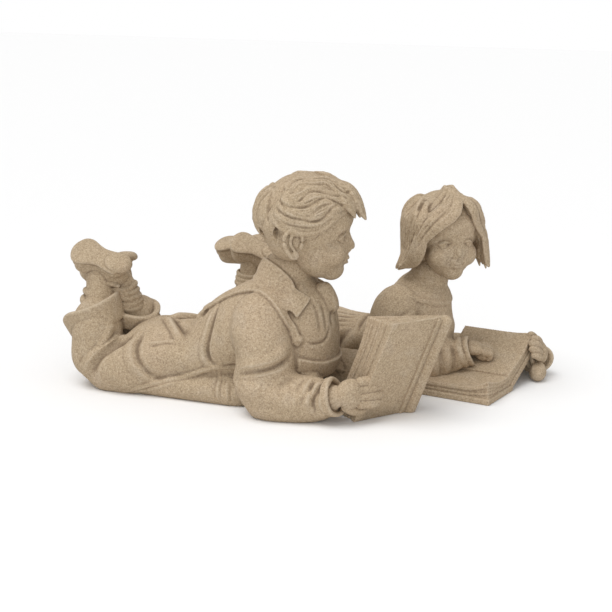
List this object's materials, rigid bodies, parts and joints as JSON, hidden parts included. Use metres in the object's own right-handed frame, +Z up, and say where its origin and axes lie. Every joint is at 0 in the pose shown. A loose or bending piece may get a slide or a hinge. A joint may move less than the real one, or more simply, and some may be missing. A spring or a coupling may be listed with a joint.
{
  "type": "reading children figurine",
  "caption": "Sandstone-look garden figurine of a boy and a girl lying on their fronts side by side, propped on their elbows, each reading an open book.",
  "frame": {"origin": "middle of the bounding box of the figurine, on the plane that it stands on", "axes": "+X is the way the children face, +Y points from the boy to the girl, +Z is up"},
  "size_m": [0.6211, 0.4008, 0.3022],
  "materials": {
    "sandstone_resin": "matte sandstone-look cast resin with fine light and dark speckle"
  },
  "bodies": {
    "root": {"reading_children": "sandstone_resin"}
  },
  "joints": []
}
